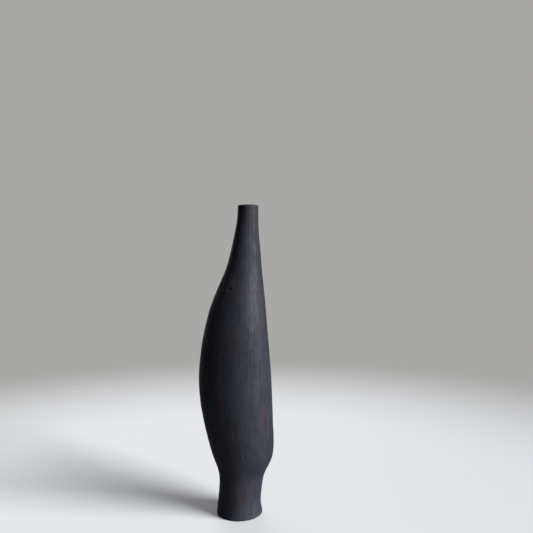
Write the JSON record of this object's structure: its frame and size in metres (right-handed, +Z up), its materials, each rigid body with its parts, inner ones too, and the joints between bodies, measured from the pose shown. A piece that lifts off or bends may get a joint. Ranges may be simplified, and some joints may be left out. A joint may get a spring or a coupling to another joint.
{
  "type": "stoneware bottle vase",
  "caption": "Tall matte black stoneware vase with a small round foot, a belly fullest to one side, a long leaning neck and a narrow open mouth.",
  "frame": {"origin": "middle of the foot's underside, on the table", "axes": "+Z up to the mouth, -X towards the full side of the belly, -Y the front"},
  "size_m": [0.0763, 0.0733, 0.31],
  "materials": {
    "dark_stoneware": "matte black, combed upwards by hand",
    "joining_slip": "fired clay slip",
    "liner_glaze": "glossy dark glaze"
  },
  "bodies": {
    "root": {"floor_slab": "dark_stoneware", "foot_wall": "dark_stoneware", "lower_belly_wall": "dark_stoneware", "middle_belly_wall": "dark_stoneware", "upper_belly_wall": "dark_stoneware", "neck_wall": "dark_stoneware", "lip_coil": "dark_stoneware", "foot_slip_seam": "joining_slip", "lower_belly_slip_seam": "joining_slip", "middle_belly_slip_seam": "joining_slip", "upper_belly_slip_seam": "joining_slip", "neck_slip_seam": "joining_slip", "lip_slip_seam": "joining_slip", "liner_glaze": "liner_glaze"}
  },
  "joints": []
}
